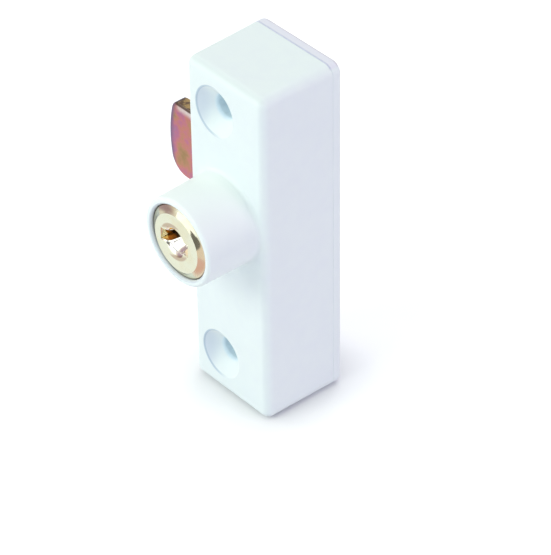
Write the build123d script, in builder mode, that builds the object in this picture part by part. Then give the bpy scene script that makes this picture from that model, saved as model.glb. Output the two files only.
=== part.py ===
from build123d import *
from math import atan, cos, degrees, radians, sin, sqrt
import os

# A key-operated window lock with a swing bolt, in millimetres.
# The origin is the centre of the fixing face at the back. X runs to the right of
# someone facing the lock, Z runs up, and the lock's front faces -Y. Every depth below
# is a distance forward of the fixing face, so it is measured along -Y.

# Die-cast case
case_width = 19.9
case_height = 68.0
case_back = 2.0
case_front = 17.0
case_draft = 1.15
corner_radius = 2.0
front_edge_radius = 1.5
back_edge_radius = 0.12
side_wall = 1.7
front_wall = 2.2

# Back plate, flush with the case, its outer rim rolled over at the back
plate_width = 19.9
plate_height = 68.0
plate_front_edge_radius = 0.12
plate_back_edge_radius = 0.8

# Fixing screw holes, one above and one below the plug
fixing_x = -2.5
fixing_spacing = 51.6
fixing_hole_radius = 2.15
fixing_sink_radius = 4.7
fixing_throat_radius = 0.7
fixing_rim_radius = 0.12
fixing_post_radius = 4.3
rib_thickness = 1.4
rib_front = 12.0

# Screws that hold the back plate
cover_x = 5.3
cover_spacing = 59.0
cover_post_radius = 2.6
cover_shank_radius = 1.2
cover_pilot_radius = 1.25
cover_clearance_radius = 1.4
cover_head_radius = 2.3
cover_head_gap = 0.1
cover_tip_radius = 0.4
cover_slot_size = 0.6
cover_screw_length = 8.0
cover_pilot_depth = 9.5

# Boss and the bore for the plug
axis_z = 5.75
boss_tip = 27.9
boss_tip_radius = 8.25
boss_base_radius = 8.5
boss_rim_fillet = 0.6
boss_base_fillet = 0.8
boss_root = 1.0
bearing_radius = 7.4
bearing_end = 10.0
bore_radius = 5.56
head_bore_radius = 6.98
head_bore_floor = 26.15
head_bore_mouth_radius = 0.45

# Grooves in the bore that the wafers enter when no key is in the plug
groove_radius = 6.6
groove_width = 6.4
groove_end = 13.6

# Plug
plug_radius = 5.5
head_radius = 6.9
head_shoulder = 26.2
bevel_start = 27.3
plug_face = 28.1
face_radius = 5.48
bevel_radius = 2.6
plug_end = 9.8
tail_radius = 4.0
tail_flat = 2.75
tail_end = 6.45

# Funnel that guides the key, and the keyway through it, both a little left of centre
key_x = -0.5
funnel_mouth_radius = 2.1
funnel_floor_radius = 1.65
funnel_depth = 3.3
funnel_lip_radius = 1.25
keyway_half_width = 3.5
keyway_half_height = 1.05
keyway_end = 14.0
keyway_lip_break = 0.22

# Wafers
wafer_count = 5
wafer_pitch = 2.2
first_wafer = 23.9
wafer_thickness = 0.8
wafer_half_height = 3.0
wafer_end_radius = 5.35
wafer_travel = 0.9
window_half_height = 1.35
window_half_width = 3.5
window_corner_radius = 0.3
code_steps = [-2, 0, -1, 1, -1]
code_step = 0.15
ear_left = 0.2
ear_right = 1.1
ear_top = 4.1
slot_clearance = 0.1

# Wafer springs, their round wire drawn with eight sides to keep five coils light
spring_wire = 0.2
wire_sides = 8
spring_radius = 0.4
spring_turns = 4
spring_left = -2.8
spring_z = 3.62
pocket_half_width = 0.65

# Stop washer and the lug cast on the end of the plug's bearing
lug_half_angle = 14.0
lug_angle = 90.0
turn_range = 90.0
stop_clearance_angle = 1.0
lug_inner_radius = 5.95
lug_end = 9.0
stop_washer_front = 9.8
stop_washer_back = 8.8
stop_washer_radius = 7.2
notch_radius = 5.8

# Swing bolt
bolt_front = 8.8
bolt_back = 6.3
bolt_width = 15.0
bolt_reach = 24.9
bolt_top_corner = 2.0
bolt_bottom_corner = 4.0
bolt_front_roll = 0.5
bolt_back_break = 0.15
tail_clearance = 0.05

# Slot in the left side that the bolt swings through
slot_front = 9.0
slot_back = 6.1
slot_edge_gap = 0.35
slot_overcut = 0.5

# Washers and screw behind the bolt
clamp_washer_radius = 5.0
clamp_washer_back = 5.5
spring_washer_back = 4.8
spring_washer_radius = 2.9
spring_washer_gap = 0.5
spring_washer_slant = 20.0
screw_radius = 1.45
tapped_radius = 1.5
washer_hole_radius = 1.65
screw_head_radius = 2.8
screw_head_back = 3.0
screw_head_edge_radius = 0.5
screw_end = 11.0
tapped_end = 11.6
driver_slot_width = 0.8
driver_slot_depth = 0.9

# How near a place an edge has to be to be picked by it
pick_slack = 0.01

os.makedirs("parts", exist_ok=True)


def at(depth):
    """The plane parallel to the fixing face at this depth forward of it."""
    return Plane.XZ.offset(depth)


def save(piece, name):
    """Labels a finished piece and writes it under its own name."""
    piece.part.label = name
    export_step(piece.part, f"parts/{name}.step")


def polar(radius, angle):
    """A point round the plug's axis, seen from the front, angles in degrees."""
    return (radius * cos(radians(angle)), radius * sin(radians(angle)))


fixing_points = [(fixing_x, fixing_spacing / 2), (fixing_x, -fixing_spacing / 2)]
cover_points = [(cover_x, cover_spacing / 2), (cover_x, -cover_spacing / 2)]
wafer_depths = [first_wafer - index * wafer_pitch for index in range(wafer_count)]

# Lock case: a drafted box, open at the back, with the boss on its front
boss_draft = degrees(atan((boss_base_radius - boss_tip_radius) / (boss_tip - case_front)))
cavity_width = case_width - 2 * side_wall
cavity_height = case_height - 2 * side_wall
cavity_front = case_front - front_wall
sweep_radius = bolt_reach + slot_edge_gap
slot_top = axis_z + bolt_width / 2 + slot_edge_gap
slot_bottom = axis_z - sqrt(sweep_radius**2 - (cavity_width / 2) ** 2)
sink_depth = fixing_sink_radius - fixing_hole_radius

with BuildPart() as lock_case:
    with BuildSketch(at(case_back)):
        RectangleRounded(case_width, case_height, corner_radius)
    extrude(amount=case_front - case_back, taper=case_draft)
    fillet(lock_case.faces().sort_by(Axis.Y)[0].edges(), front_edge_radius)
    fillet(lock_case.faces().sort_by(Axis.Y)[-1].edges(), back_edge_radius)

    # Boss, widening a little towards its base, with a fillet where it meets the case
    with BuildSketch(at(case_front - boss_root)):
        with Locations((0, axis_z)):
            Circle(boss_base_radius)
    extrude(amount=boss_tip - case_front + boss_root, taper=boss_draft)
    base_ring = lock_case.edges(Select.LAST).filter_by_position(
        Axis.Y, -case_front - boss_root / 2, -case_front + boss_root / 2
    )
    fillet(base_ring, boss_base_fillet)
    fillet(lock_case.faces().sort_by(Axis.Y)[0].edges(), boss_rim_fillet)

    # Cavity
    with BuildSketch(at(case_back)):
        RectangleRounded(cavity_width, cavity_height, corner_radius / 2)
    extrude(amount=cavity_front - case_back, taper=case_draft, mode=Mode.SUBTRACT)

    # Posts for both kinds of screw, each fixing post tied to the sides by a rib
    with BuildSketch(at(case_back)):
        with Locations(*fixing_points):
            Circle(fixing_post_radius)
        with Locations(*cover_points):
            Circle(cover_post_radius)
    extrude(amount=cavity_front - case_back)
    with BuildSketch(at(rib_front)):
        with Locations((0, fixing_spacing / 2), (0, -fixing_spacing / 2)):
            Rectangle(cavity_width, rib_thickness)
    extrude(amount=cavity_front - rib_front)

    # Bearing for the plug, with the lug that stops its turn
    with BuildSketch(at(bearing_end)):
        with Locations((0, axis_z)):
            Circle(bearing_radius)
    extrude(amount=cavity_front - bearing_end)
    with BuildSketch(at(lug_end)):
        with Locations((0, axis_z)):
            Circle(bearing_radius)
            Circle(lug_inner_radius, mode=Mode.SUBTRACT)
        with BuildLine():
            first = polar(2 * bearing_radius, lug_angle - lug_half_angle)
            last = polar(2 * bearing_radius, lug_angle + lug_half_angle)
            Polyline(
                (0, axis_z),
                (first[0], first[1] + axis_z),
                (last[0], last[1] + axis_z),
                close=True,
            )
        make_face(mode=Mode.INTERSECT)
    extrude(amount=bearing_end - lug_end)

    # Stepped bore
    with BuildSketch(at(bearing_end)):
        with Locations((0, axis_z)):
            Circle(bore_radius)
    extrude(amount=boss_tip - bearing_end, mode=Mode.SUBTRACT)
    with BuildSketch(at(head_bore_floor)):
        with Locations((0, axis_z)):
            Circle(head_bore_radius)
    extrude(amount=boss_tip - head_bore_floor, mode=Mode.SUBTRACT)
    mouth_ring = lock_case.faces().sort_by(Axis.Y)[0].edges().sort_by(SortBy.RADIUS)[0]
    fillet(mouth_ring, head_bore_mouth_radius)

    # Wafer grooves: one to the right for the thrown bolt, one above for the bolt drawn
    with BuildSketch(at(groove_end)):
        with Locations((0, axis_z)):
            Circle(groove_radius)
        with Locations((groove_radius / 2, axis_z)):
            Rectangle(groove_radius, groove_width, mode=Mode.INTERSECT)
    extrude(amount=head_bore_floor - groove_end, mode=Mode.SUBTRACT)
    with BuildSketch(at(groove_end)):
        with Locations((0, axis_z)):
            Circle(groove_radius)
        with Locations((0, axis_z + groove_radius / 2)):
            Rectangle(groove_width, groove_radius, mode=Mode.INTERSECT)
    extrude(amount=head_bore_floor - groove_end, mode=Mode.SUBTRACT)

    # Fixing holes, countersunk from the front, with a rounded throat and a broken rim
    with BuildSketch(at(case_back)):
        with Locations(*fixing_points):
            Circle(fixing_hole_radius)
    extrude(amount=case_front - case_back, mode=Mode.SUBTRACT)
    with BuildSketch(at(case_front)):
        with Locations(*fixing_points):
            Circle(fixing_sink_radius)
    extrude(amount=-sink_depth, taper=45, mode=Mode.SUBTRACT)
    for ring_depth, rounding in (
        (case_front - sink_depth, fixing_throat_radius),
        (case_front, fixing_rim_radius),
    ):
        rings = lock_case.edges().filter_by(GeomType.CIRCLE).filter_by_position(
            Axis.Y, -ring_depth - pick_slack, -ring_depth + pick_slack
        )
        fillet(
            [ring for ring in rings if ring.radius < fixing_sink_radius + pick_slack],
            rounding,
        )

    # Blind pilot holes for the back plate's screws
    with BuildSketch(at(case_back)):
        with Locations(*cover_points):
            Circle(cover_pilot_radius)
    extrude(amount=cover_pilot_depth, mode=Mode.SUBTRACT)

    # Slot for the bolt in the left side
    with BuildSketch(at(slot_back)):
        with Locations((-case_width / 2, (slot_top + slot_bottom) / 2)):
            Rectangle(2 * (side_wall + slot_overcut), slot_top - slot_bottom)
    extrude(amount=slot_front - slot_back, mode=Mode.SUBTRACT)
save(lock_case, "lock_case")

# Back plate: flat, with soft edges, screw holes countersunk from behind
cover_sink_depth = cover_head_radius - cover_clearance_radius

with BuildPart() as back_plate:
    with BuildSketch(Plane.XZ):
        RectangleRounded(plate_width, plate_height, corner_radius)
    extrude(amount=case_back)
    fillet(back_plate.faces().sort_by(Axis.Y)[0].edges(), plate_front_edge_radius)
    fillet(back_plate.faces().sort_by(Axis.Y)[-1].edges(), plate_back_edge_radius)
    with BuildSketch(Plane.XZ):
        with Locations(*fixing_points):
            Circle(fixing_hole_radius)
        with Locations(*cover_points):
            Circle(cover_clearance_radius)
    extrude(amount=case_back, mode=Mode.SUBTRACT)
    with BuildSketch(Plane.XZ):
        with Locations(*cover_points):
            Circle(cover_head_radius)
    extrude(amount=cover_sink_depth, taper=45, mode=Mode.SUBTRACT)
save(back_plate, "back_plate")

# Countersunk screws through the back plate into the case's posts
for number, (screw_x, screw_z) in enumerate(cover_points, start=1):
    with BuildPart() as cover_screw:
        with BuildSketch(Plane.XZ):
            with Locations((screw_x, screw_z)):
                Circle(cover_head_radius - cover_head_gap)
        extrude(amount=cover_sink_depth, taper=45)
        with BuildSketch(Plane.XZ):
            with Locations((screw_x, screw_z)):
                Circle(cover_shank_radius)
        extrude(amount=cover_screw_length)
        fillet(cover_screw.faces().sort_by(Axis.Y)[0].edges(), cover_tip_radius)
        with BuildSketch(Plane.XZ):
            with Locations((screw_x, screw_z)):
                Rectangle(2 * cover_head_radius, cover_slot_size)
        extrude(amount=cover_slot_size, mode=Mode.SUBTRACT)
    save(cover_screw, f"cover_screw_{number}")

# Plug: a turned profile, then the funnel, keyway, wafer slots, pockets and tail flats
plug_axis = Axis((0, 0, axis_z), (0, -1, 0))
turning_plane = Plane(origin=(0, 0, axis_z), x_dir=(0, 0, 1), z_dir=(1, 0, 0))
funnel_axis = Axis((key_x, 0, axis_z), (0, -1, 0))
funnel_plane = Plane(origin=(key_x, 0, axis_z), x_dir=(0, 0, 1), z_dir=(1, 0, 0))

with BuildPart() as key_plug:
    with BuildSketch(turning_plane):
        with BuildLine():
            Polyline(
                (0, tail_end),
                (tail_radius, tail_end),
                (tail_radius, plug_end),
                (plug_radius, plug_end),
                (plug_radius, head_shoulder),
                (head_radius, head_shoulder),
                (head_radius, bevel_start),
            )
            RadiusArc((head_radius, bevel_start), (face_radius, plug_face), bevel_radius)
            Polyline((face_radius, plug_face), (0, plug_face), (0, tail_end))
        make_face()
    revolve(axis=plug_axis)

    with BuildSketch(funnel_plane):
        with BuildLine():
            Polyline(
                (0, plug_face - funnel_depth),
                (funnel_floor_radius, plug_face - funnel_depth),
                (funnel_mouth_radius, plug_face),
                (0, plug_face),
                close=True,
            )
        make_face()
    revolve(axis=funnel_axis, mode=Mode.SUBTRACT)
    lip_ring = key_plug.faces().sort_by(Axis.Y)[0].edges().sort_by(SortBy.RADIUS)[0]
    fillet(lip_ring, funnel_lip_radius)

    with BuildSketch(at(keyway_end)):
        with Locations((key_x, axis_z)):
            Rectangle(2 * keyway_half_width, 2 * keyway_half_height)
    extrude(amount=plug_face - keyway_end, mode=Mode.SUBTRACT)
    front_edges = key_plug.edges(Select.LAST).filter_by_position(
        Axis.Y, -plug_face - pick_slack, -plug_face + funnel_depth - pick_slack
    )
    keyway_lips = [
        edge
        for lip_z in (axis_z - keyway_half_height, axis_z + keyway_half_height)
        for edge in front_edges.filter_by_position(
            Axis.Z, lip_z - pick_slack, lip_z + pick_slack
        )
    ]
    chamfer(keyway_lips, keyway_lip_break)

    for depth in wafer_depths:
        with BuildSketch(at(depth - wafer_thickness / 2 - slot_clearance / 2)):
            with Locations((0, axis_z)):
                Rectangle(2 * plug_radius, 2 * (wafer_half_height + slot_clearance))
        extrude(amount=wafer_thickness + slot_clearance, mode=Mode.SUBTRACT)
        with BuildSketch(at(depth - pocket_half_width)):
            with Locations((spring_left, axis_z + wafer_half_height)):
                Rectangle(
                    ear_right + wafer_travel + slot_clearance - spring_left,
                    ear_top + slot_clearance - wafer_half_height,
                    align=(Align.MIN, Align.MIN),
                )
        extrude(amount=2 * pocket_half_width, mode=Mode.SUBTRACT)

    with BuildSketch(at(tail_end)):
        with Locations((0, axis_z)):
            Circle(tapped_radius)
    extrude(amount=tapped_end - tail_end, mode=Mode.SUBTRACT)
    with BuildSketch(at(tail_end)):
        with Locations((tail_flat, axis_z)):
            Rectangle(tail_radius, 2 * tail_radius, align=(Align.MIN, Align.CENTER))
        with Locations((-tail_flat, axis_z)):
            Rectangle(tail_radius, 2 * tail_radius, align=(Align.MAX, Align.CENTER))
    extrude(amount=plug_end - tail_end, mode=Mode.SUBTRACT)
save(key_plug, "key_plug")

# Wafers and their springs, drawn level with the plug as a key holds them
for number, depth in enumerate(wafer_depths, start=1):
    code_shift = code_steps[number - 1] * code_step
    with BuildPart() as wafer:
        with BuildSketch(at(depth - wafer_thickness / 2)):
            with Locations((0, axis_z)):
                Circle(wafer_end_radius)
                Rectangle(
                    2 * wafer_end_radius, 2 * wafer_half_height, mode=Mode.INTERSECT
                )
            with Locations(((ear_left + ear_right) / 2, axis_z + ear_top / 2)):
                Rectangle(ear_right - ear_left, ear_top)
            with Locations((code_shift, axis_z)):
                RectangleRounded(
                    2 * window_half_width,
                    2 * window_half_height,
                    window_corner_radius,
                    mode=Mode.SUBTRACT,
                )
        extrude(amount=wafer_thickness)
    save(wafer, f"wafer_{number}")

    spring_length = ear_left - spring_left - spring_wire
    with BuildPart() as wafer_spring:
        with BuildLine():
            coil = Helix(
                pitch=spring_length / spring_turns,
                height=spring_length,
                radius=spring_radius,
                center=(spring_left + spring_wire / 2, -depth, axis_z + spring_z),
                direction=(1, 0, 0),
            )
        with BuildSketch(Plane(origin=coil @ 0, z_dir=coil % 0)):
            RegularPolygon(spring_wire / 2, wire_sides)
        sweep(is_frenet=True)
    save(wafer_spring, f"wafer_spring_{number}")

# Stop washer: fits the plug's flats, its notch turns round the lug on the bearing
notch_start = lug_angle - lug_half_angle - stop_clearance_angle - turn_range
notch_end = lug_angle + lug_half_angle + stop_clearance_angle

with BuildPart() as stop_washer:
    with BuildSketch(at(stop_washer_back)):
        with Locations((0, axis_z)):
            Circle(stop_washer_radius)
        with BuildLine():
            CenterArc((0, axis_z), notch_radius, notch_start, notch_end - notch_start)
            CenterArc((0, axis_z), 2 * notch_radius, notch_start, notch_end - notch_start)
            for angle in (notch_start, notch_end):
                inner, outer = polar(notch_radius, angle), polar(2 * notch_radius, angle)
                Line((inner[0], inner[1] + axis_z), (outer[0], outer[1] + axis_z))
        make_face(mode=Mode.SUBTRACT)
        with Locations((0, axis_z)):
            Circle(tail_radius + tail_clearance, mode=Mode.SUBTRACT)
        for side in (-1, 1):
            with Locations((side * (tail_flat + tail_clearance), axis_z)):
                Rectangle(
                    tail_radius - tail_flat,
                    2 * tail_radius,
                    align=(Align.MIN if side > 0 else Align.MAX, Align.CENTER),
                )
    extrude(amount=stop_washer_front - stop_washer_back)
save(stop_washer, "stop_washer")

# Swing bolt: round hub, straight arm, and an end arc struck from the plug's axis
half_width = bolt_width / 2
end_x = -sqrt(bolt_reach**2 - half_width**2)

with BuildPart() as swing_bolt:
    with BuildSketch(at(bolt_back)):
        with BuildLine():
            Line((0, axis_z + half_width), (end_x, axis_z + half_width))
            ThreePointArc(
                (end_x, axis_z + half_width),
                (-bolt_reach, axis_z),
                (end_x, axis_z - half_width),
            )
            Line((end_x, axis_z - half_width), (0, axis_z - half_width))
            ThreePointArc(
                (0, axis_z - half_width), (half_width, axis_z), (0, axis_z + half_width)
            )
        make_face()
    extrude(amount=bolt_front - bolt_back)
    end_corners = swing_bolt.edges().filter_by(Axis.Y).group_by(Axis.X)[0].sort_by(Axis.Z)
    fillet(end_corners[-1], bolt_top_corner)
    end_corners = swing_bolt.edges().filter_by(Axis.Y).sort_by(Axis.Z)
    fillet(end_corners[0], bolt_bottom_corner)
    fillet(swing_bolt.faces().sort_by(Axis.Y)[0].edges(), bolt_front_roll)
    chamfer(swing_bolt.faces().sort_by(Axis.Y)[-1].edges(), bolt_back_break)
    with BuildSketch(at(bolt_back)):
        with Locations((0, axis_z)):
            Circle(tail_radius + tail_clearance)
            Rectangle(2 * (tail_flat + tail_clearance), bolt_width, mode=Mode.INTERSECT)
    extrude(amount=bolt_front - bolt_back, mode=Mode.SUBTRACT)
save(swing_bolt, "swing_bolt")

# Plain washer that clamps the bolt past the end of the plug's tail
with BuildPart() as clamp_washer:
    with BuildSketch(at(clamp_washer_back)):
        with Locations((0, axis_z)):
            Circle(clamp_washer_radius)
            Circle(washer_hole_radius, mode=Mode.SUBTRACT)
    extrude(amount=bolt_back - clamp_washer_back)
save(clamp_washer, "clamp_washer")

# Split spring washer
with BuildPart() as spring_washer:
    with BuildSketch(at(spring_washer_back)):
        with Locations((0, axis_z)):
            Circle(spring_washer_radius)
            Circle(washer_hole_radius, mode=Mode.SUBTRACT)
        with Locations((0, axis_z + spring_washer_radius / 2)):
            Rectangle(
                spring_washer_gap,
                spring_washer_radius + washer_hole_radius,
                rotation=spring_washer_slant,
                mode=Mode.SUBTRACT,
            )
    extrude(amount=clamp_washer_back - spring_washer_back)
save(spring_washer, "spring_washer")

# Slotted screw in the plug's tail
with BuildPart() as bolt_screw:
    with BuildSketch(at(screw_head_back)):
        with Locations((0, axis_z)):
            Circle(screw_head_radius)
    extrude(amount=spring_washer_back - screw_head_back)
    fillet(bolt_screw.faces().sort_by(Axis.Y)[-1].edges(), screw_head_edge_radius)
    with BuildSketch(at(screw_head_back)):
        with Locations((0, axis_z)):
            Circle(screw_radius)
    extrude(amount=screw_end - screw_head_back)
    with BuildSketch(at(screw_head_back)):
        with Locations((0, axis_z)):
            Rectangle(2 * screw_head_radius, driver_slot_width)
    extrude(amount=driver_slot_depth, mode=Mode.SUBTRACT)
save(bolt_screw, "bolt_screw")
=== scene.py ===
"""Looks of a surface-mounted window lock with a swing bolt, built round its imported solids.

Lengths are in metres, in the lock's own frame: the origin is the centre of the fixing
face, X runs to the right of someone facing the lock, Z runs up and the front faces -Y.
"""

import logging
import math
from abc import ABC, abstractmethod
from dataclasses import dataclass
from enum import Enum
from typing import Any, Mapping, Optional, Sequence, Union

import bmesh
import bpy
from mathutils import Matrix, Vector


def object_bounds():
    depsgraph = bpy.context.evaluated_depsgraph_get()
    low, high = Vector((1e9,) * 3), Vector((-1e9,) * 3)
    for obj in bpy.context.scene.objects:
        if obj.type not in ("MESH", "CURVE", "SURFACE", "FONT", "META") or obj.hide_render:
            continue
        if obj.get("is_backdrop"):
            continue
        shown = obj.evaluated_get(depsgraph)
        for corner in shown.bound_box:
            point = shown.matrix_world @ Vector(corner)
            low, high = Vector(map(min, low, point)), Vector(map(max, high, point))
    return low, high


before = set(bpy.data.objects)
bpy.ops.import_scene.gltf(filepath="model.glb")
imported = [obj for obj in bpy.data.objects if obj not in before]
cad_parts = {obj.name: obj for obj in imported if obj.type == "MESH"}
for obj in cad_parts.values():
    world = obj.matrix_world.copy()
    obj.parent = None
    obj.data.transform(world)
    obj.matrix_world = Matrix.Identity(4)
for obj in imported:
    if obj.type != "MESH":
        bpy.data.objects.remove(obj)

log = logging.getLogger("window_lock")

Triple = tuple[float, float, float]
Colour = Triple
Pair = tuple[float, float]
Span = Pair
Stops = tuple[tuple[float, Colour], ...]
Number = Union[float, "Signal"]

MM = 0.001
PLUG_AXIS_Z = 5.75 * MM
UP: Triple = (0.0, 0.0, 1.0)
TOWARDS_PLUG: Triple = (0.819, 0.574, 0.0)
BLACK: Colour = (0.0, 0.0, 0.0)

# A Mix node's sockets share their names between its data types, so colours go by number.
MIX_SHARE, MIX_LOW_COLOUR, MIX_HIGH_COLOUR = 0, 6, 7
MIX_COLOUR = 2


class Slot(Enum):
    """The record's material slots."""

    WHITE_COAT = "white_coat"
    WHITE_PLATE = "white_coat_plate"
    PLUG_BRASS = "plug_brass"
    WAFER_BRASS = "wafer_brass"
    PASSIVATED = "passivated_steel"
    ZINC = "zinc_steel"
    SPRING = "spring_steel"


class Signal:
    """A shader socket that takes part in Python arithmetic."""

    def __init__(self, graph: "Graph", socket: bpy.types.NodeSocket) -> None:
        """Keeps the socket and the graph that it belongs to."""
        self.graph = graph
        self.socket = socket

    def maths(self, operation: str, *terms: Number) -> "Signal":
        """Adds a Math node.

        Args:
            operation: the Math node's operation.
            terms: its inputs in order, as numbers or signals.

        Returns:
            The result as a new signal.
        """
        inputs = dict(enumerate(terms))
        return self.graph.add("ShaderNodeMath", "Value", {"operation": operation}, inputs)

    def __add__(self, other: Number) -> "Signal":
        """self + other."""
        return self.maths("ADD", self, other)

    __radd__ = __add__

    def __sub__(self, other: Number) -> "Signal":
        """self - other."""
        return self.maths("SUBTRACT", self, other)

    def __rsub__(self, other: Number) -> "Signal":
        """other - self."""
        return self.maths("SUBTRACT", other, self)

    def __mul__(self, other: Number) -> "Signal":
        """self * other."""
        return self.maths("MULTIPLY", self, other)

    __rmul__ = __mul__

    def __pow__(self, power: Number) -> "Signal":
        """self ** power."""
        return self.maths("POWER", self, power)

    def __abs__(self) -> "Signal":
        """The size of self without its sign."""
        return self.maths("ABSOLUTE", self)

    def least(self, other: Number) -> "Signal":
        """The smaller of self and other."""
        return self.maths("MINIMUM", self, other)

    def most(self, other: Number) -> "Signal":
        """The larger of self and other."""
        return self.maths("MAXIMUM", self, other)

    def hypot(self, other: "Signal") -> "Signal":
        """The distance from where self and other are both 0."""
        return (self * self + other * other) ** 0.5

    def around(self, mean: float, spread: float) -> "Signal":
        """A signal from 0 to 1 made one that varies by a spread about a mean."""
        return self * spread + (mean - spread / 2)

    def step(self, start: float, end: float) -> "Signal":
        """Rises smoothly from 0 to 1 between two values.

        Args:
            start: where the result is still 0.
            end: where it has reached 1, above or below the start.

        Returns:
            The rise as a new signal.
        """
        settings = {"interpolation_type": "SMOOTHSTEP"}
        inputs = {"Value": self, "From Min": min(start, end), "From Max": max(start, end)}
        rise = self.graph.add("ShaderNodeMapRange", "Result", settings, inputs)
        return rise if start < end else 1 - rise

    def line(self, centre: float, half_width: float, core: float) -> "Signal":
        """Draws a soft line where the signal passes a value.

        Args:
            centre: the value in the middle of the line.
            half_width: how far from it the line has faded out.
            core: share of the half width, squared, up to which it is full.

        Returns:
            The line as a new signal, 1 in its middle.
        """
        off = (self - centre) * (1 / half_width)
        return (off * off).step(1.0, core)


Axes = tuple[Signal, Signal, Signal]


class Graph:
    """The node tree of one surface material."""

    def __init__(self, name: str) -> None:
        """Starts a material that holds one Principled shader and its output.

        Args:
            name: the material's name.
        """
        self.material = bpy.data.materials.new(name)
        self.material.use_nodes = True
        self.tree = self.material.node_tree
        self.tree.nodes.clear()
        self.shader = self.tree.nodes.new("ShaderNodeBsdfPrincipled")
        output = self.tree.nodes.new("ShaderNodeOutputMaterial")
        self.tree.links.new(self.shader.outputs["BSDF"], output.inputs["Surface"])

    def add(
        self,
        kind: str,
        output: Union[str, int],
        settings: Optional[Mapping[str, Any]] = None,
        inputs: Optional[Mapping[Union[str, int], Any]] = None,
    ) -> Signal:
        """Adds one node.

        Args:
            kind: the node's type.
            output: name or number of the output that is wanted.
            settings: the node's own properties, or "stops" for a colour ramp.
            inputs: a value or a signal for each socket that is set.

        Returns:
            The wanted output as a signal.
        """
        node = self.tree.nodes.new(kind)
        for key, value in (settings or {}).items():
            if key == "stops":
                self._set_stops(node.color_ramp, value)
            else:
                setattr(node, key, value)
        for key, value in (inputs or {}).items():
            self.feed(node.inputs[key], value)
        return Signal(self, node.outputs[output])

    def feed(self, socket: bpy.types.NodeSocket, value: Any) -> None:
        """Links a signal to a socket, or sets the socket's own value.

        Args:
            socket: the input to feed.
            value: a signal, a number, a vector or a colour.
        """
        if isinstance(value, Signal):
            self.tree.links.new(value.socket, socket)
        elif socket.type == "RGBA":
            socket.default_value = (*value, 1.0)
        else:
            socket.default_value = value

    @staticmethod
    def _set_stops(ramp: bpy.types.ColorRamp, stops: Sequence[tuple[float, Colour]]) -> None:
        """Gives a colour ramp its stops.

        Args:
            ramp: the ramp of a fresh node.
            stops: a place from 0 to 1 and a colour for each stop, in order.
        """
        while len(ramp.elements) < len(stops):
            ramp.elements.new(0.5)
        for element, (place, colour) in zip(ramp.elements, stops):
            element.position = place
            element.color = (*colour, 1.0)

    def principled(self, **values: Any) -> None:
        """Feeds the Principled shader, a keyword for each socket with _ for a space."""
        for key, value in values.items():
            self.feed(self.shader.inputs[key.replace("_", " ")], value)

    def place(self, origin: Vector = Vector(), scale: Vector = Vector((1, 1, 1))) -> Signal:
        """Reads where a point of the piece is.

        Args:
            origin: the point that the result is measured from.
            scale: how much each axis is stretched.

        Returns:
            The Object coordinates as a vector signal.
        """
        raw = self.add("ShaderNodeTexCoord", "Object")
        moved = {"Vector": raw, "Location": -origin * scale, "Scale": scale}
        return self.add("ShaderNodeMapping", "Vector", {"vector_type": "POINT"}, moved)

    def axes(self, where: Signal) -> Axes:
        """Takes a vector apart.

        Args:
            where: the vector signal.

        Returns:
            Its X, Y and Z.
        """
        node = self.add("ShaderNodeSeparateXYZ", "X", inputs={"Vector": where}).socket.node
        x, y, z = (Signal(self, socket) for socket in node.outputs)
        return x, y, z

    def noise(self, where: Signal, size: float, detail: float = 2.0, rough: float = 0.5) -> Signal:
        """Soft noise from 0 to 1 whose blotches are about size metres across."""
        inputs = {"Vector": where, "Scale": 1 / size, "Detail": detail, "Roughness": rough}
        return self.add("ShaderNodeTexNoise", "Fac", inputs=inputs)

    def blend(self, share: Number, low: Any, high: Any) -> Signal:
        """Mixes two colours.

        Args:
            share: how much of the second colour there is, from 0 to 1.
            low: the first colour, or a signal.
            high: the second colour, or a signal.

        Returns:
            The mixed colour as a signal.
        """
        inputs = {MIX_SHARE: share, MIX_LOW_COLOUR: low, MIX_HIGH_COLOUR: high}
        return self.add("ShaderNodeMix", MIX_COLOUR, {"data_type": "RGBA"}, inputs)

    def bump(self, height: Signal) -> Signal:
        """A normal that follows a relief in metres."""
        inputs = {"Height": height, "Distance": 1.0, "Strength": 1.0}
        return self.add("ShaderNodeBump", "Normal", inputs=inputs)


def within(limit: float, margins: Span) -> Span:
    """The ends of a step that lie inside a limit by two margins."""
    return limit - margins[0], limit - margins[1]


class Finish(ABC):
    """A surface finish that can make its own material."""

    @abstractmethod
    def shade(self, graph: Graph) -> None:
        """Builds the finish in a fresh graph."""

    def material(self, name: str) -> bpy.types.Material:
        """Makes the finish as a material.

        Args:
            name: the material's name.

        Returns:
            The new material.
        """
        graph = Graph(name)
        self.shade(graph)
        return graph.material


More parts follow.
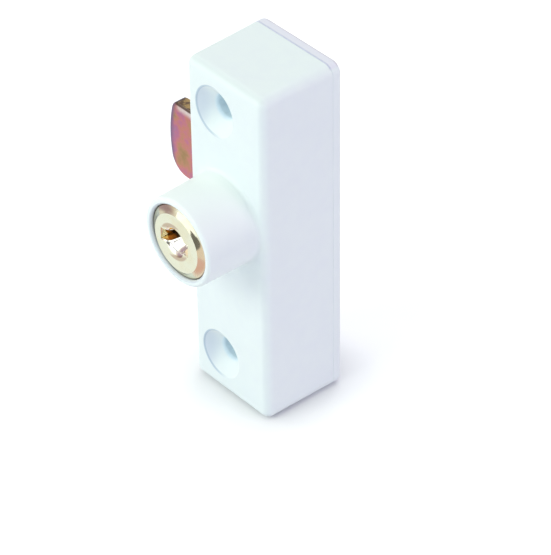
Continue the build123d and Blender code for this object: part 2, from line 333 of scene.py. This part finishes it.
@dataclass(frozen=True)
class PowderCoat(Finish):
    """White powder coat: a baked film with a faint peel, and painted light and shade at its sinks,
    boss, edges and seam.

    Spans hold where a tone starts and where it is full, along the axis in their names.
    Margins say the same as distances inside the radius or height that they belong to.
    """

    colour: Colour = (0.862, 0.925, 0.907)
    cool_colour: Colour = (0.848, 0.906, 0.905)
    cloud_size: float = 16 * MM
    cloud_detail: float = 1.0
    mottle_size: float = 2.2 * MM
    cloud_share: float = 0.4
    cloud_span: Span = (0.30, 0.70)
    peel_size: float = 0.7 * MM
    peel_detail: float = 1.5
    peel_depth: float = 0.004 * MM
    roughness: float = 0.48
    roughness_spread: float = 0.10
    specular: float = 0.28

    sink_x: float = -2.5 * MM
    sink_z: float = 25.8 * MM
    sink_radius: float = 4.7 * MM
    sink_shade_colour: Colour = (0.71, 0.775, 0.845)
    sink_shade_share: float = 0.9
    sink_margins: Span = (-0.05 * MM, 0.15 * MM)
    sink_shade_x_span: Span = (-1.7 * MM, -4.0 * MM)
    sink_y_span: Span = (-11 * MM, -13 * MM)
    hole_radius: float = 2.15 * MM
    hole_shade_colour: Colour = (0.76, 0.89, 0.95)
    hole_margins: Span = (-0.5 * MM, 0.0)
    hole_y_span: Span = (-0.1 * MM, -0.6 * MM)
    rim_shade_colour: Colour = (0.48, 0.58, 0.68)
    rim_shade_share: float = 0.8
    rim_half_width: float = 0.22 * MM
    rim_core: float = 0.2
    rim_x_span: Span = (2.0 * MM, -2.0 * MM)
    rim_y_span: Span = (-16.0 * MM, -17.0 * MM)

    boss_highlight_colour: Colour = (0.95, 0.99, 0.97)
    boss_highlight_share: float = 0.7
    boss_y_span: Span = (-17.6 * MM, -20.0 * MM)
    boss_highlight_z_span: Span = (6 * MM, 12 * MM)
    mouth_shade_colour: Colour = (0.70, 0.75, 0.80)
    mouth_radius_span: Span = (7.42 * MM, 7.2 * MM)

    top_z: float = 34 * MM
    edge_shade_colour: Colour = (0.775, 0.84, 0.825)
    edge_shade_y_span: Span = (-15.7 * MM, -16.5 * MM)
    edge_shade_margins: Span = (1.3 * MM, 0.5 * MM)
    top_margins: Span = (0.9 * MM, 0.4 * MM)
    seam_y: float = -2 * MM
    seam_shade_colour: Colour = (0.65, 0.67, 0.78)
    seam_half_width: float = 0.24 * MM
    seam_core: float = 0.1
    strip_shade_colour: Colour = (0.825, 0.82, 0.885)
    strip_y_span: Span = (-2.05 * MM, -1.95 * MM)
    back_edge_shade_colour: Colour = (0.75, 0.71, 0.73)
    back_y_span: Span = (-0.75 * MM, -0.35 * MM)

    def shade(self, graph: Graph) -> None:
        """Builds a cloudy near-white film with painted light and shade at sinks, boss, edges and seam.

        Args:
            graph: the fresh graph.
        """
        where = graph.place()
        spot = graph.axes(where)
        clouds = graph.noise(where, self.cloud_size, detail=self.cloud_detail)
        mottle = graph.noise(where, self.mottle_size)
        peel = graph.noise(where, self.peel_size, detail=self.peel_detail)
        mist = clouds * self.cloud_share + mottle * (1 - self.cloud_share)
        film = graph.blend(mist.step(*self.cloud_span), self.cool_colour, self.colour)
        for tone in (self._sinks, self._boss, self._edges, self._seam):
            film = tone(graph, film, spot)
        graph.principled(
            Base_Color=film,
            Roughness=peel.around(self.roughness, self.roughness_spread),
            Specular_IOR_Level=self.specular,
            Normal=graph.bump(peel * self.peel_depth),
        )

    def _sinks(self, graph: Graph, film: Signal, spot: Axes) -> Signal:
        """Paints shade in the two countersinks: on their left side, inside their holes and along their
        rims.

        Args:
            graph: the coat's graph.
            film: its colour so far.
            spot: X, Y and Z of the point.

        Returns:
            The film with the tones laid over it.
        """
        x, y, z = spot
        across = x - self.sink_x
        radius = across.hypot(abs(z) - self.sink_z)
        # Painted shade: each countersink's left side, the inside of each hole and a line along each
        # rim's left side are darkened and tinted blue.
        in_sink = radius.step(*within(self.sink_radius, self.sink_margins)) * y.step(*self.sink_y_span)
        in_hole = radius.step(*within(self.hole_radius, self.hole_margins)) * y.step(*self.hole_y_span)
        on_rim_shade = radius.line(self.sink_radius, self.rim_half_width, self.rim_core)
        on_rim_shade = on_rim_shade * y.step(*self.rim_y_span) * across.step(*self.rim_x_span)
        shaded_side = across.step(*self.sink_shade_x_span)
        film = graph.blend(in_sink * shaded_side * self.sink_shade_share, film, self.sink_shade_colour)
        film = graph.blend(in_hole, film, self.hole_shade_colour)
        return graph.blend(on_rim_shade * self.rim_shade_share, film, self.rim_shade_colour)

    def _boss(self, graph: Graph, film: Signal, spot: Axes) -> Signal:
        """Tones the boss with a painted highlight on its top and painted shade inside its mouth.

        Args:
            graph: the coat's graph.
            film: its colour so far.
            spot: X, Y and Z of the point.

        Returns:
            The film with the tones laid over it.
        """
        x, y, z = spot
        on_boss = y.step(*self.boss_y_span)
        # Painted highlight: the top of the boss is made paler. Painted shade: its mouth is made
        # darker.
        crown_highlight = on_boss * z.step(*self.boss_highlight_z_span)
        in_mouth = on_boss * x.hypot(z - PLUG_AXIS_Z).step(*self.mouth_radius_span)
        film = graph.blend(crown_highlight * self.boss_highlight_share, film, self.boss_highlight_colour)
        return graph.blend(in_mouth, film, self.mouth_shade_colour)

    def _edges(self, graph: Graph, film: Signal, spot: Axes) -> Signal:
        """Darkens the front edges at top and bottom with painted shade.

        Args:
            graph: the coat's graph.
            film: its colour so far.
            spot: X, Y and Z of the point.

        Returns:
            The film with the tone laid over it.
        """
        _, y, z = spot
        # Painted shade: the rounded front edges at top and bottom are made darker.
        at_end = abs(z).step(*within(self.top_z, self.edge_shade_margins))
        return graph.blend(at_end * y.step(*self.edge_shade_y_span), film, self.edge_shade_colour)

    def _seam(self, graph: Graph, film: Signal, spot: Axes) -> Signal:
        """Paints shade on the top behind the seam: on the back plate's strip, along the seam and at
        the far edge.

        Args:
            graph: the coat's graph.
            film: its colour so far.
            spot: X, Y and Z of the point.

        Returns:
            The film with the tones laid over it.
        """
        _, y, z = spot
        on_top = z.step(*within(self.top_z, self.top_margins))
        # Painted shade, on top only: the back plate's strip is tinted lavender, the seam is drawn as a
        # dark line and the far edge is darkened.
        seam = y.line(self.seam_y, self.seam_half_width, self.seam_core)
        film = graph.blend(on_top * y.step(*self.strip_y_span), film, self.strip_shade_colour)
        film = graph.blend(on_top * seam, film, self.seam_shade_colour)
        return graph.blend(on_top * y.step(*self.back_y_span), film, self.back_edge_shade_colour)


@dataclass(frozen=True)
class TurnedBrass(Finish):
    """Bright turned brass, its marks in rings about an axis along Y, cut by a funnel and a keyway.

    Depths are measured from the face. Margins are distances inside a radius or height.
    """

    axis_z: float
    face_depth: float
    funnel_x: float
    funnel_radius: float
    keyway_half_height: float

    colour: Colour = (0.81, 0.81, 0.635)
    deep_colour: Colour = (0.79, 0.755, 0.54)
    tarnish_size: float = 3 * MM
    tarnish_span: Span = (0.40, 0.75)
    gap_shade_colour: Colour = (0.16, 0.12, 0.08)
    gap_radius_span: Span = (6.62 * MM, 6.84 * MM)
    ring_size: float = 0.12 * MM
    ring_detail: float = 2.0
    ring_depth: float = 0.0004 * MM
    roughness: float = 0.12
    roughness_spread: float = 0.08

    face_depth_span: Span = (0.03 * MM, 0.30 * MM)
    lip_reflection_colour: Colour = (0.58, 0.46, 0.33)
    lip_margins: Span = (-0.35 * MM, -0.05 * MM)
    lip_lean: float = 0.4
    lip_z_span: Span = (2.45 * MM, 3.0 * MM)
    funnel_highlight_colour: Colour = (0.97, 0.96, 0.90)
    funnel_margins: Span = (-0.2 * MM, 0.3 * MM)
    flare_start: float = 0.6 * MM
    flare_slope: float = 1.05

    keyway_colour: Colour = (1.0, 0.59, 0.09)
    keyway_shade_colour: Colour = (0.34, 0.22, 0.10)
    keyway_roughness: float = 0.38
    keyway_margins: Span = (-0.05 * MM, 0.02 * MM)
    keyway_radius_span: Span = (5.2 * MM, 5.0 * MM)
    keyway_shade_depth_span: Span = (2.1 * MM, 2.7 * MM)
    end_x_span: Span = (-3.8 * MM, -3.95 * MM)
    end_lean: float = 0.48
    end_depth: float = 1.0 * MM
    end_slope: float = 4.8
    end_polish: float = 0.7
    end_light_colour: Colour = (1.0, 0.95, 0.70)
    floor_x_span: Span = (0.9 * MM, 1.3 * MM)
    floor_margin: float = 0.02 * MM
    floor_depth: float = 1.8 * MM
    floor_colour: Colour = (0.78, 0.74, 0.60)
    light_fade: float = 0.1 * MM

    def shade(self, graph: Graph) -> None:
        """Builds pale gold outside and a rougher keyway, with painted shade, light and reflection at
        gap, lip, funnel and keyway.

        Args:
            graph: the fresh graph.
        """
        x, y, z = graph.axes(graph.place(Vector((0, 0, self.axis_z))))
        radius = x.hypot(z)
        depth = y + self.face_depth
        rings = graph.add(
            "ShaderNodeTexNoise",
            "Fac",
            {"noise_dimensions": "1D"},
            {"W": radius * (1 / self.ring_size), "Scale": 1.0, "Detail": self.ring_detail},
        )

        off_axis = x - self.funnel_x
        off_funnel = off_axis.hypot(z)
        below_face = depth.step(*self.face_depth_span)
        in_funnel = below_face * off_funnel.step(*within(self.funnel_radius, self.funnel_margins))
        # Painted reflection: darker tan crescents at the top and bottom of the funnel's lip.
        on_lip_reflection = off_funnel.step(*within(self.funnel_radius, self.lip_margins))
        on_lip_reflection = on_lip_reflection * abs(z - off_axis * self.lip_lean).step(*self.lip_z_span)
        edge = (height**2 for height in within(self.keyway_half_height, self.keyway_margins))
        in_keyway = (z * z).step(*edge) * below_face * radius.step(*self.keyway_radius_span)

        # Painted light: a pale patch on the front of the keyway's end wall, cut off by a slanting
        # painted shadow line under its upper lip. The patch is also made smoother.
        end_wall = x.step(*self.end_x_span)
        end_reach = depth + z * self.end_lean
        painted_light_end = end_wall * end_reach.step(self.end_depth + self.light_fade, self.end_depth)
        # Painted light: a pale strip on the right of the keyway's lower wall, near its mouth.
        floor_wall = z.step(self.floor_margin - self.keyway_half_height, -self.keyway_half_height)
        floor_wall = floor_wall * x.step(*self.floor_x_span) * in_keyway
        painted_light_floor = floor_wall * depth.step(self.floor_depth + self.light_fade, self.floor_depth)

        flare = (depth - self.flare_start).most(0.0) * in_funnel * (1 - in_keyway)
        relief = (
            rings * self.ring_depth
            + flare * self.flare_slope
            + end_reach.least(self.end_depth) * end_wall * in_keyway * self.end_slope
            + depth.least(self.floor_depth) * floor_wall
        )

        tarnish = graph.noise(graph.place(), self.tarnish_size)
        metal = graph.blend(tarnish.step(*self.tarnish_span), self.colour, self.deep_colour)
        # Painted shade: a dark ring round the plug's outer edge, where it meets the boss's bore.
        metal = graph.blend(radius.step(*self.gap_radius_span), metal, self.gap_shade_colour)
        metal = graph.blend(on_lip_reflection, metal, self.lip_reflection_colour)
        # Painted highlight: the funnel's wall is made near-white.
        metal = graph.blend(in_funnel, metal, self.funnel_highlight_colour)
        # Painted shade: the keyway's amber darkens deeper in.
        sunk_shade = depth.step(*self.keyway_shade_depth_span)
        slot = graph.blend(sunk_shade, self.keyway_colour, self.keyway_shade_colour)
        metal = graph.blend(in_keyway, metal, slot)
        # Painted light: the keyway's floor strip is made pale.
        metal = graph.blend(painted_light_floor * in_keyway, metal, self.floor_colour)
        metal = graph.blend(painted_light_end * in_keyway, metal, self.end_light_colour)

        polish = rings.around(self.roughness, self.roughness_spread)
        dull = (1 - painted_light_end * self.end_polish) * self.keyway_roughness
        graph.principled(
            Base_Color=metal,
            Metallic=1.0,
            Roughness=polish * (1 - in_keyway) + dull * in_keyway,
            Normal=graph.bump(relief),
        )


@dataclass(frozen=True)
class Tones:
    """The two close tones that a plain metal's grain runs between, and its polish."""

    light: Colour
    dark: Colour
    roughness: float


ZINC_TONES = Tones((0.66, 0.67, 0.70), (0.52, 0.53, 0.56), 0.34)
SPRING_TONES = Tones((0.45, 0.45, 0.47), (0.36, 0.36, 0.38), 0.30)
WAFER_TONES = Tones((0.80, 0.65, 0.36), (0.70, 0.54, 0.27), 0.32)


@dataclass(frozen=True)
class PlainMetal(Finish):
    """Bare or plated metal with a faint grain along Z."""

    tones: Tones
    grain_size: float = 0.25 * MM
    grain_stretch: float = 12.0
    grain_detail: float = 3.0
    grain_depth: float = 0.002 * MM
    roughness_spread: float = 0.16

    def shade(self, graph: Graph) -> None:
        """Mixes the two tones along the stretched grain.

        Args:
            graph: the fresh graph.
        """
        where = graph.place(scale=Vector((1, 1, 1 / self.grain_stretch)))
        grain = graph.noise(where, self.grain_size, detail=self.grain_detail)
        graph.principled(
            Base_Color=graph.blend(grain, self.tones.dark, self.tones.light),
            Metallic=1.0,
            Roughness=grain.around(self.tones.roughness, self.roughness_spread),
            Normal=graph.bump(self.height(graph, grain)),
        )

    def height(self, graph: Graph, grain: Signal) -> Signal:
        """The surface's relief in metres, here the grain alone."""
        return grain * self.grain_depth


@dataclass(frozen=True)
class ThreadedMetal(PlainMetal):
    """Plated metal whose shank, along Y, carries a rolled thread."""

    axis_x: float = 0.0
    axis_z: float = 0.0
    shank_radius: float = 1.45 * MM
    shank_margins: Span = (-0.10 * MM, -0.05 * MM)
    head_depth: float = 3.6 * MM
    runout: float = 0.4 * MM
    pitch: float = 0.5 * MM
    thread_depth: float = 0.22 * MM

    def height(self, graph: Graph, grain: Signal) -> Signal:
        """Adds to the grain a ridge that winds round the shank once a pitch.

        Args:
            graph: the metal's graph.
            grain: its grain, from 0 to 1.

        Returns:
            The relief in metres.
        """
        x, y, z = graph.axes(graph.place(Vector((self.axis_x, 0, self.axis_z))))
        turns = x.maths("ARCTAN2", x, z) * (1 / math.tau)
        phase = y * (1 / self.pitch) + turns
        ridge = abs(phase.maths("FRACT", phase) - 0.5) * self.thread_depth
        on_shank = x.hypot(z).step(*within(self.shank_radius, self.shank_margins))
        on_shank = on_shank * y.step(-self.head_depth, -self.head_depth - self.runout)
        return super().height(graph, grain) + ridge * on_shank


@dataclass(frozen=True)
class Stain:
    """A round patch where the film's colour shifts, placed from the plug's axis."""

    x: float
    z: float
    radius: float
    shift: float


@dataclass(frozen=True)
class YellowPassivate(Finish):
    """Zinc plate with the rainbow film of a yellow passivate dip, stained at its edges, with painted
    light and shade along them.

    Margins are distances inside the bolt's reach or half width.
    """

    axis_z: float
    reach: float
    half_width: float

    film_size: float = 2.6 * MM
    film_detail: float = 3.0
    film_rough: float = 0.6
    film_stops: Stops = (
        (0.18, (0.38, 0.24, 0.11)),
        (0.36, (0.50, 0.26, 0.15)),
        (0.48, (0.58, 0.23, 0.19)),
        (0.58, (0.56, 0.20, 0.26)),
        (0.70, (0.48, 0.18, 0.31)),
        (0.85, (0.38, 0.24, 0.36)),
    )
    stains: tuple[Stain, ...] = (
        Stain(-21.2 * MM, -3.0 * MM, 3.2 * MM, -0.30),
        Stain(-23.1 * MM, 4.4 * MM, 1.4 * MM, -0.25),
        Stain(-23.3 * MM, 0.7 * MM, 2.4 * MM, 0.26),
        Stain(-21.5 * MM, 4.4 * MM, 1.8 * MM, 0.10),
        Stain(-23.9 * MM, -3.4 * MM, 1.8 * MM, 0.16),
    )
    fleck_size: float = 0.9 * MM
    fleck_span: Span = (0.38, 0.62)
    top_dark_colour: Colour = (0.24, 0.15, 0.09)
    top_light_colour: Colour = (0.66, 0.44, 0.18)
    top_margins: Span = (0.10 * MM, 0.02 * MM)
    highlight_colour: Colour = (0.80, 0.74, 0.68)
    highlight_margins: Span = (1.9 * MM, 0.8 * MM)
    highlight_x_span: Span = (-23.2 * MM, -21.6 * MM)
    highlight_mean: float = 0.8
    highlight_spread: float = 0.9
    edge_shade_colour: Colour = (0.235, 0.155, 0.26)
    edge_shade_margins: Span = (1.1 * MM, 0.1 * MM)
    edge_wander: float = 0.6 * MM
    dark_reflection_colour: Colour = (0.10, 0.07, 0.05)
    dark_reflection_share: float = 0.9
    dark_reflection_margins: Span = (0.50 * MM, 0.32 * MM)
    grain_size: float = 0.3 * MM
    grain_depth: float = 0.003 * MM
    roughness: float = 0.36
    roughness_spread: float = 0.14

    def shade(self, graph: Graph) -> None:
        """Builds interference colours that drift in soft patches, with a fine grain and painted light
        and shade at the edges.

        Args:
            graph: the fresh graph.
        """
        where = graph.place()
        x, _, z = graph.axes(graph.place(Vector((0, 0, self.axis_z))))
        drift = graph.noise(where, self.film_size, self.film_detail, self.film_rough)
        for stain in self.stains:
            away = (x - stain.x).hypot(z - stain.z)
            drift = drift + away.step(stain.radius, 0.0) * stain.shift
        film = graph.add("ShaderNodeValToRGB", "Color", {"stops": self.film_stops}, {"Fac": drift})

        fleck = graph.noise(where, self.fleck_size)
        on_top = z.step(*within(self.half_width, self.top_margins))
        # Painted highlight: a whitish strip just below the front top edge.
        painted_highlight = z.step(*within(self.half_width, self.highlight_margins)) * x.step(*self.highlight_x_span)
        painted_highlight = painted_highlight * fleck.around(self.highlight_mean, self.highlight_spread)
        # Painted shade: a dark purple band along the bolt's rounded end.
        ragged = x.hypot(z) + fleck * self.edge_wander
        # Painted reflection: a dark line along the front top edge.
        on_dark_reflection = z.step(*within(self.half_width, self.dark_reflection_margins)) * (1 - on_top)
        top = graph.blend(fleck.step(*self.fleck_span), self.top_dark_colour, self.top_light_colour)

        film = graph.blend(painted_highlight, film, self.highlight_colour)
        film = graph.blend(ragged.step(*within(self.reach, self.edge_shade_margins)), film, self.edge_shade_colour)
        film = graph.blend(on_dark_reflection * self.dark_reflection_share, film, self.dark_reflection_colour)
        film = graph.blend(on_top, film, top)
        grain = graph.noise(where, self.grain_size)
        graph.principled(
            Base_Color=film,
            Metallic=1.0,
            Roughness=grain.around(self.roughness, self.roughness_spread),
            Normal=graph.bump(grain * self.grain_depth),
        )


@dataclass
class Casing:
    """Die-cast case, its back plate and the screws that join them."""

    coat: Finish = PowderCoat()
    screw_x: float = 5.3 * MM
    screw_z: float = 29.5 * MM
    screw_radius: float = 1.2 * MM
    screw_sink: float = 1.1 * MM
    screw_pitch: float = 0.8 * MM

    def dress(self) -> None:
        """Gives the carried-over solids their finishes."""
        dress("lock_case", self.coat, Slot.WHITE_COAT)
        dress("back_plate", self.coat, Slot.WHITE_PLATE)
        for number, height in ((1, self.screw_z), (2, -self.screw_z)):
            metal = ThreadedMetal(
                ZINC_TONES,
                axis_x=self.screw_x,
                axis_z=height,
                shank_radius=self.screw_radius,
                head_depth=self.screw_sink,
                pitch=self.screw_pitch,
            )
            dress(f"cover_screw_{number}", metal, Slot.ZINC)


@dataclass
class PlugSet:
    """Brass plug with its wafers and their springs."""

    face_depth: float = 28.1 * MM
    funnel_x: float = -0.5 * MM
    funnel_radius: float = 3.3 * MM
    keyway_half_height: float = 1.05 * MM
    count: int = 5
    wafer_metal: Finish = PlainMetal(WAFER_TONES)
    spring_metal: Finish = PlainMetal(SPRING_TONES)

    def dress(self) -> None:
        """Gives the carried-over solids their finishes."""
        brass = TurnedBrass(
            PLUG_AXIS_Z, self.face_depth, self.funnel_x, self.funnel_radius, self.keyway_half_height
        )
        dress("key_plug", brass, Slot.PLUG_BRASS)
        for number in range(1, self.count + 1):
            dress(f"wafer_{number}", self.wafer_metal, Slot.WAFER_BRASS)
            dress(f"wafer_spring_{number}", self.spring_metal, Slot.SPRING)


@dataclass
class BoltStack:
    """Swing bolt with the washers and the screw that hold it on the plug's tail."""

    reach: float = 24.9 * MM
    half_width: float = 7.5 * MM
    plating: Finish = PlainMetal(ZINC_TONES)
    spring_metal: Finish = PlainMetal(SPRING_TONES)

    def dress(self) -> None:
        """Gives the carried-over solids their finishes."""
        film = YellowPassivate(PLUG_AXIS_Z, self.reach, self.half_width)
        dress("swing_bolt", film, Slot.PASSIVATED)
        for node in ("stop_washer", "clamp_washer"):
            dress(node, self.plating, Slot.ZINC)
        dress("bolt_screw", ThreadedMetal(ZINC_TONES, axis_z=PLUG_AXIS_Z), Slot.ZINC)
        dress("spring_washer", self.spring_metal, Slot.SPRING)


def dress(node: str, finish: Finish, slot: Slot) -> None:
    """Gives a carried-over solid its finish.

    Args:
        node: the solid's name.
        finish: what its surface looks like.
        slot: the record's slot that the finish stands for.
    """
    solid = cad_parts[node]
    solid.data.materials.clear()
    solid.data.materials.append(finish.material(f"{node}_{slot.value}"))
    log.info("dressed %s in %s", node, type(finish).__name__)


def flat_sheet(name: str, place: Matrix) -> bpy.types.Object:
    """Makes a flat sheet for the stage, with its place in its mesh.

    Args:
        name: the sheet's name.
        place: turns, sizes and moves a level sheet of 1 by 1 metre about the origin.

    Returns:
        The sheet, with its own UV map.
    """
    mesh = bmesh.new()
    mesh.loops.layers.uv.new("sheet")
    bmesh.ops.create_grid(mesh, x_segments=1, y_segments=1, size=0.5, matrix=place, calc_uvs=True)
    data = bpy.data.meshes.new(name)
    mesh.to_mesh(data)
    mesh.free()
    sheet = bpy.data.objects.new(name, data)
    bpy.context.collection.objects.link(sheet)
    sheet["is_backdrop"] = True
    return sheet


@dataclass(frozen=True)
class Lamp:
    """A square soft lamp whose size is its side and whose power is in watts."""

    name: str
    place: Triple
    size: float
    power: float
    colour: Colour

    def hang(self, aim: Vector) -> None:
        """Hangs the lamp.

        Args:
            aim: the point that it is turned to.
        """
        data = bpy.data.lights.new(self.name, "AREA")
        data.size, data.energy, data.color = self.size, self.power, self.colour
        lamp = bpy.data.objects.new(self.name, data)
        lamp.location = self.place
        lamp.rotation_euler = (aim - lamp.location).to_track_quat("-Z", "Y").to_euler()
        bpy.context.collection.objects.link(lamp)
        log.info("hung %s", self.name)


@dataclass(frozen=True)
class Card:
    """A flat card that only glossy surfaces see, as a reflection.

    Its size is its level width and its height, and fade is the share of each that its
    edges take to appear.
    """

    name: str
    place: Triple
    facing: Triple
    size: Pair
    colour: Colour
    fade: float = 0.01

    def hang(self) -> None:
        """Hangs the card and gives it its own glowing paper."""
        turn = Vector(self.facing).to_track_quat("Z", "Y").to_matrix().to_4x4()
        stretch = Matrix.Diagonal((*self.size, 1.0, 1.0))
        card = flat_sheet(self.name, Matrix.Translation(self.place) @ turn @ stretch)
        graph = Graph(f"{self.name}_paper")
        across, along, _ = graph.axes(graph.add("ShaderNodeTexCoord", "UV"))
        shown = across.least(1 - across).step(0.0, self.fade)
        shown = shown * along.least(1 - along).step(0.0, self.fade)
        graph.principled(Base_Color=BLACK, Roughness=1.0, Specular_IOR_Level=0.0)
        graph.principled(Emission_Color=self.colour, Emission_Strength=1.0, Alpha=shown)
        card.data.materials.append(graph.material)
        card.visible_camera = card.visible_diffuse = card.visible_shadow = False
        card.visible_transmission = card.visible_volume_scatter = False
        log.info("hung %s", self.name)


@dataclass
class Studio:
    """Pale floor, soft light and the camera at the photograph's angle.

    Angles are in degrees. The camera is moved from its aim to the right and up as it sees
    them, which frames the lock as the photograph does.
    """

    image_width: float = 551.0
    image_height: float = 555.0
    azimuth: float = 49.236
    elevation: float = 38.368
    roll: float = -0.873
    distance: float = 537.1 * MM
    aim: Vector = Vector((0, -17 * MM, 0))
    aim_right: float = 7.979 * MM
    aim_up: float = -5.862 * MM
    focal_pixels: float = 3185.4
    sensor: float = 36.0
    clip: Pair = (0.01, 20.0)

    floor_size: float = 4.0
    floor_colour: Colour = (0.82, 0.82, 0.83)
    floor_roughness: float = 0.9
    floor_glow: float = 0.35
    floor_gloss: float = 0.2
    contact_reach: float = 10 * MM
    contact_samples: int = 16
    ambient: Colour = (0.438, 0.465, 0.540)
    lamps: tuple[Lamp, ...] = (
        Lamp("left_lamp", (-1.2, -0.8, 0.5), 0.7, 5.08, (1.0, 0.988, 0.886)),
        Lamp("front_lamp", (-0.2, -1.2, 0.9), 0.7, 6.64, (0.917, 1.0, 0.841)),
        Lamp("top_lamp", (0.15, -0.25, 1.4), 0.7, 2.59, (0.935, 1.0, 0.589)),
        Lamp("back_lamp", (-0.3, 0.7, 1.2), 0.7, 2.9, (0.969, 0.995, 1.0)),
        Lamp("right_lamp", (1.2, 0.6, 0.3), 0.8, 4.72, (1.0, 0.757, 0.99)),
        Lamp("low_lamp", (0.5, -1.3, 0.15), 0.8, 2.74, (0.426, 0.639, 1.0)),
    )
    cards: tuple[Card, ...] = (
        Card(
            "white_card", (-0.034, -0.676, 0.268), (0.048, 0.926, -0.375),
            (1.2, 0.75), (1.45, 1.45, 1.45),
        ),
        Card(
            "rose_card", (-0.0762, -0.067, -0.002), TOWARDS_PLUG,
            (0.07, 0.155), (0.41, 0.285, 0.335), 0.4,
        ),
        Card(
            "beige_card", (-0.1095, -0.0806, 0.03), TOWARDS_PLUG,
            (0.11, 0.165), (0.86, 0.78, 0.7), 0.12,
        ),
        Card(
            "cream_card", (-0.096, -0.022, -0.006), (1.0, -0.06, 0.0),
            (0.086, 0.12), (0.82, 0.76, 0.7), 0.2,
        ),
        Card(
            "dark_card", (0.2675, -0.405, 0.075), (-0.412, 0.911, 0.0),
            (0.51, 0.22), (0.165, 0.15, 0.135), 0.04,
        ),
        Card("dark_mat", (0.2, -0.396, -0.0337), UP, (0.404, 0.608), (0.19, 0.175, 0.16), 0.02),
        Card("sand_mat", (0.045, -0.098, -0.0336), UP, (0.145, 0.15), (0.86, 0.7, 0.6), 0.24),
        Card("salmon_mat", (0.0155, -0.052, -0.0335), UP, (0.066, 0.062), (0.79, 0.5, 0.46), 0.3),
        Card("pale_mat", (-0.0205, -0.034, -0.0334), UP, (0.013, 0.024), (0.93, 0.8, 0.72)),
    )

    def build(self, lowest: float) -> None:
        """Sets the stage.

        Args:
            lowest: height of the lock's lowest point, which stands on the floor.
        """
        bpy.context.scene.view_settings.view_transform = "Standard"
        self._camera()
        self._world()
        self._floor(lowest)
        for lamp in self.lamps:
            lamp.hang(self.aim)
        for card in self.cards:
            card.hang()

    def _camera(self) -> None:
        """Places the camera, found by fitting a pinhole to the lock's outlines."""
        azimuth, elevation, roll = map(math.radians, (self.azimuth, self.elevation, self.roll))
        look = Vector((
            -math.sin(azimuth) * math.cos(elevation),
            math.cos(azimuth) * math.cos(elevation),
            -math.sin(elevation),
        ))
        right = Vector((math.cos(azimuth), math.sin(azimuth), 0))
        up = right.cross(look)
        place = self.aim + right * self.aim_right + up * self.aim_up - look * self.distance
        turned_right = right * math.cos(roll) + up * math.sin(roll)
        turned_up = up * math.cos(roll) - right * math.sin(roll)
        data = bpy.data.cameras.new("camera")
        data.sensor_width = self.sensor
        data.lens = self.focal_pixels / max(self.image_width, self.image_height) * self.sensor
        data.clip_start, data.clip_end = self.clip
        camera = bpy.data.objects.new("camera", data)
        axes = Matrix((turned_right, turned_up, -look)).transposed().to_4x4()
        camera.matrix_world = Matrix.Translation(place) @ axes
        bpy.context.collection.objects.link(camera)
        bpy.context.scene.camera = camera

    def _world(self) -> None:
        """Lights the lock softly from all round."""
        world = bpy.data.worlds.new("studio")
        world.use_nodes = True
        bpy.context.scene.world = world
        background = world.node_tree.nodes["Background"]
        background.inputs["Color"].default_value = (*self.ambient, 1.0)
        background.inputs["Strength"].default_value = 1.0

    def _floor(self, height: float) -> None:
        """Lays a large pale floor that keeps the lock's shadow and looks white elsewhere.

        Args:
            height: how high the floor lies.
        """
        stretch = Matrix.Diagonal((self.floor_size, self.floor_size, 1.0, 1.0))
        floor = flat_sheet("floor", Matrix.Translation((0, 0, height)) @ stretch)
        graph = Graph("floor_paper")
        camera, glossy, transmission = (
            graph.add("ShaderNodeLightPath", f"Is {kind} Ray")
            for kind in ("Camera", "Glossy", "Transmission")
        )
        openness = graph.add(
            "ShaderNodeAmbientOcclusion",
            "AO",
            {"samples": self.contact_samples},
            {"Distance": self.contact_reach},
        )
        # Near the lock the glow fades with ambient occlusion, which paints shade on the floor beside
        # the lock's real shadow.
        seen = camera * openness * openness * self.floor_glow
        graph.principled(
            Base_Color=self.floor_colour,
            Roughness=self.floor_roughness,
            Emission_Color=seen + (glossy + transmission) * self.floor_gloss,
            Emission_Strength=1.0,
        )
        floor.data.materials.append(graph.material)
        log.info("laid the floor at %.4f m", height)


def main() -> None:
    """Dresses the lock and sets the stage, with the floor under the lock's lowest point."""
    logging.basicConfig(level=logging.INFO)
    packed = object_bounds()
    for part in (Casing(), PlugSet(), BoltStack()):
        part.dress()
    Studio().build(packed[0].z)


if __name__ == "__main__":
    main()
